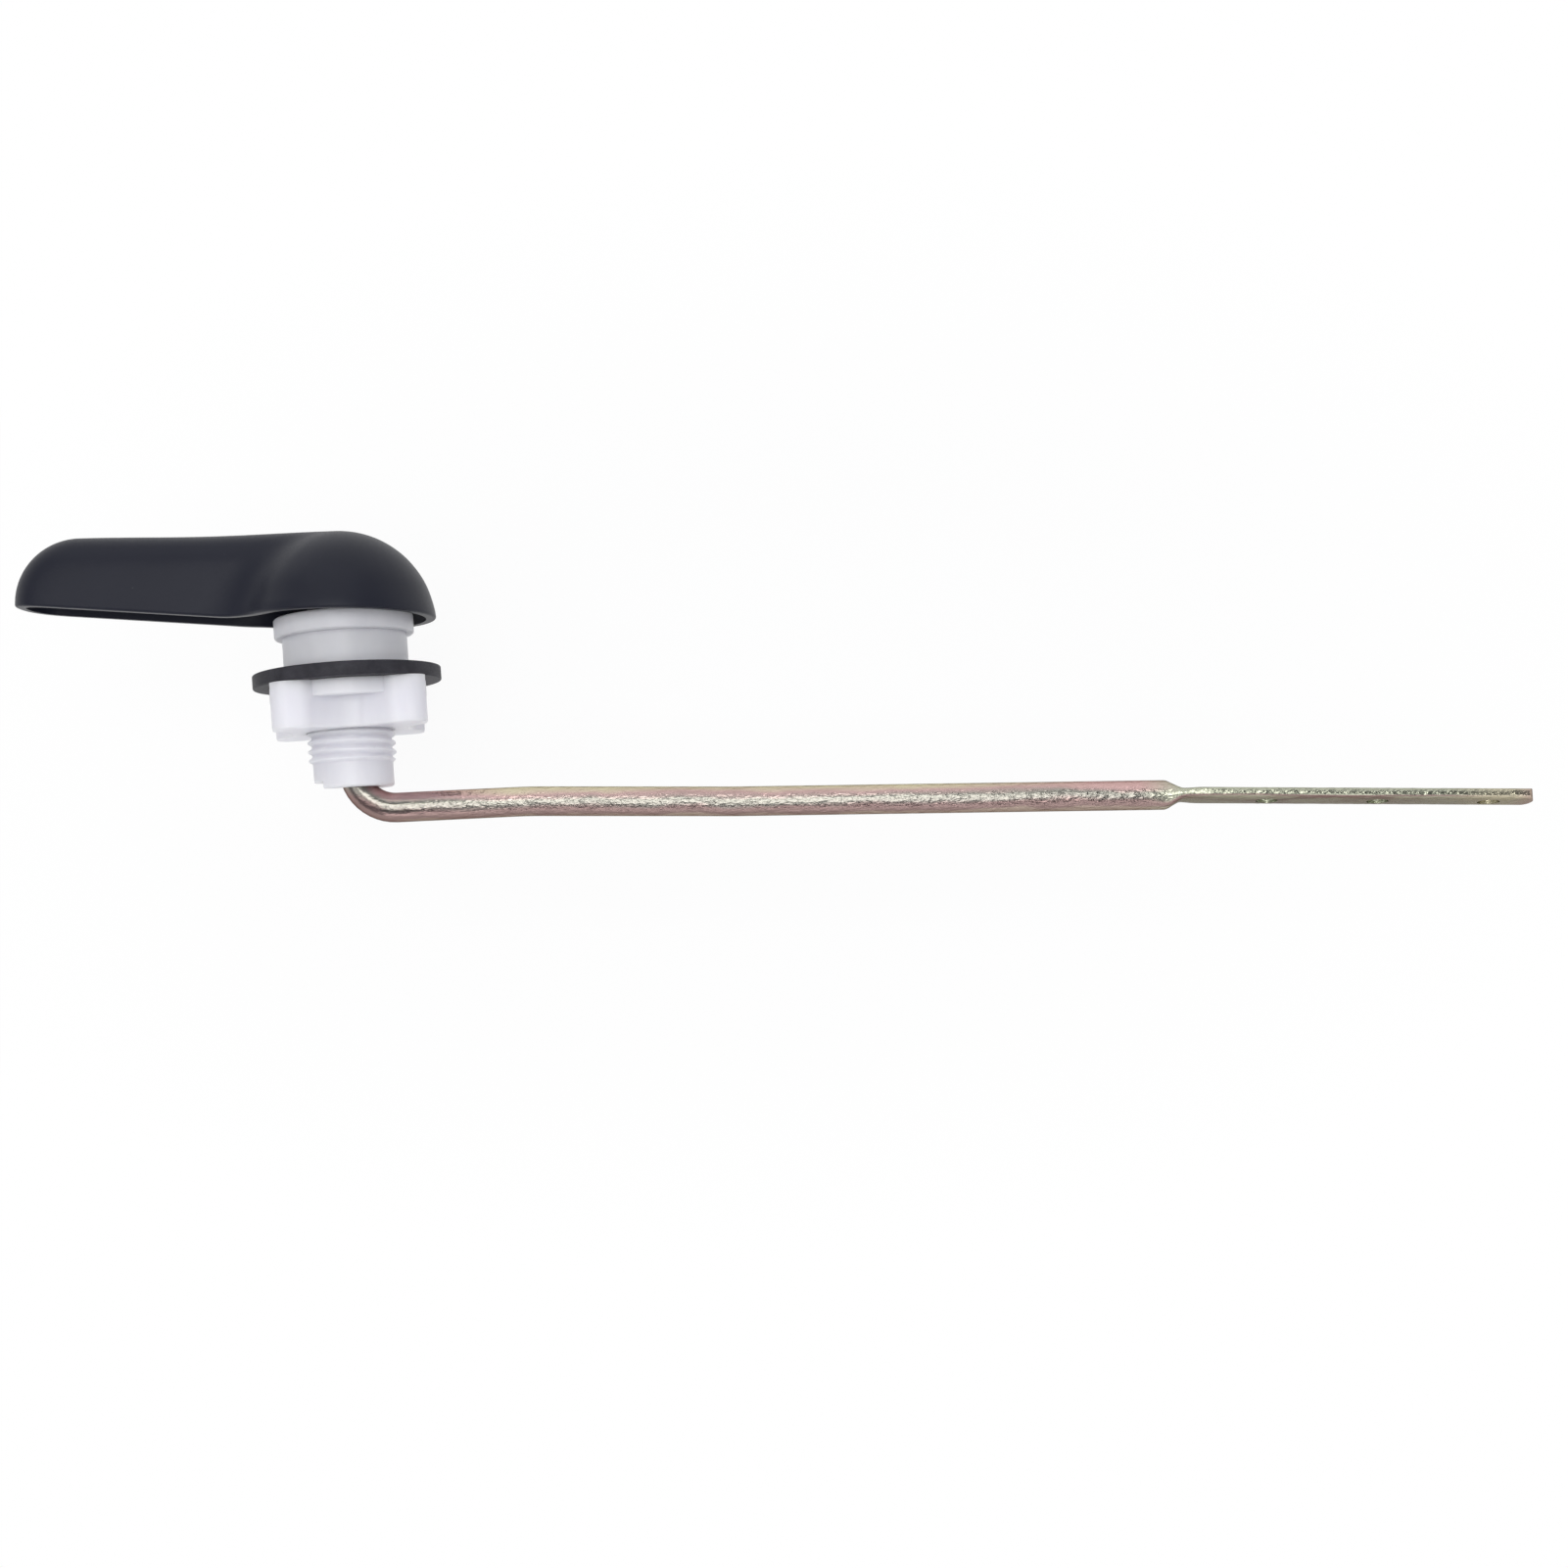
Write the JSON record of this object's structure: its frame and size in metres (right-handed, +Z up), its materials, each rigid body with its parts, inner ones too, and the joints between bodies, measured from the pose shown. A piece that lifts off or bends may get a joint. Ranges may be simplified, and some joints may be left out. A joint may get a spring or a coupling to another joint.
{
  "type": "cistern lever",
  "caption": "Side lever for a toilet cistern: hollow domed handle and bent rod with a pierced flat end turn in a threaded bush that a washer and a lobed nut clamp to the wall.",
  "frame": {"origin": "on the bush axis at the collar's seat, which is the cistern wall's outer face", "axes": "+Y into the cistern along the bush axis, +X along the handle's arm, +Z up, as fitted to a wall"},
  "size_m": [0.3023, 0.0768, 0.038],
  "materials": {
    "handle_plastic": "satin moulded",
    "bush_plastic": "satin, slightly clear",
    "washer_rubber": "matte",
    "nut_plastic": "satin moulded",
    "plated_steel": "yellow zinc plated"
  },
  "bodies": {
    "bush": {"bush": "bush_plastic"},
    "lever": {"handle": "handle_plastic", "rod": "plated_steel"},
    "washer": {"washer": "washer_rubber"},
    "nut": {"nut": "nut_plastic"}
  },
  "joints": [
    {"name": "lever_turn", "type": "hinge", "parent": "bush", "child": "lever", "pos_m": [0, 0, 0], "axis": [0, 1, 0], "range_deg": [0, 40]},
    {"name": "washer_slide", "type": "slide", "parent": "bush", "child": "washer", "axis": [0, 1, 0], "range_m": [0, 0.006]},
    {"name": "nut_turn", "type": "hinge", "parent": "washer", "child": "nut", "pos_m": [0, 0.0099, 0], "axis": [0, -1, 0], "range_deg": [0, 1200]}
  ],
  "couplings": [
    {"joint": "washer_slide", "follows": "nut_turn", "m_per_rad": 0.00028647}
  ]
}
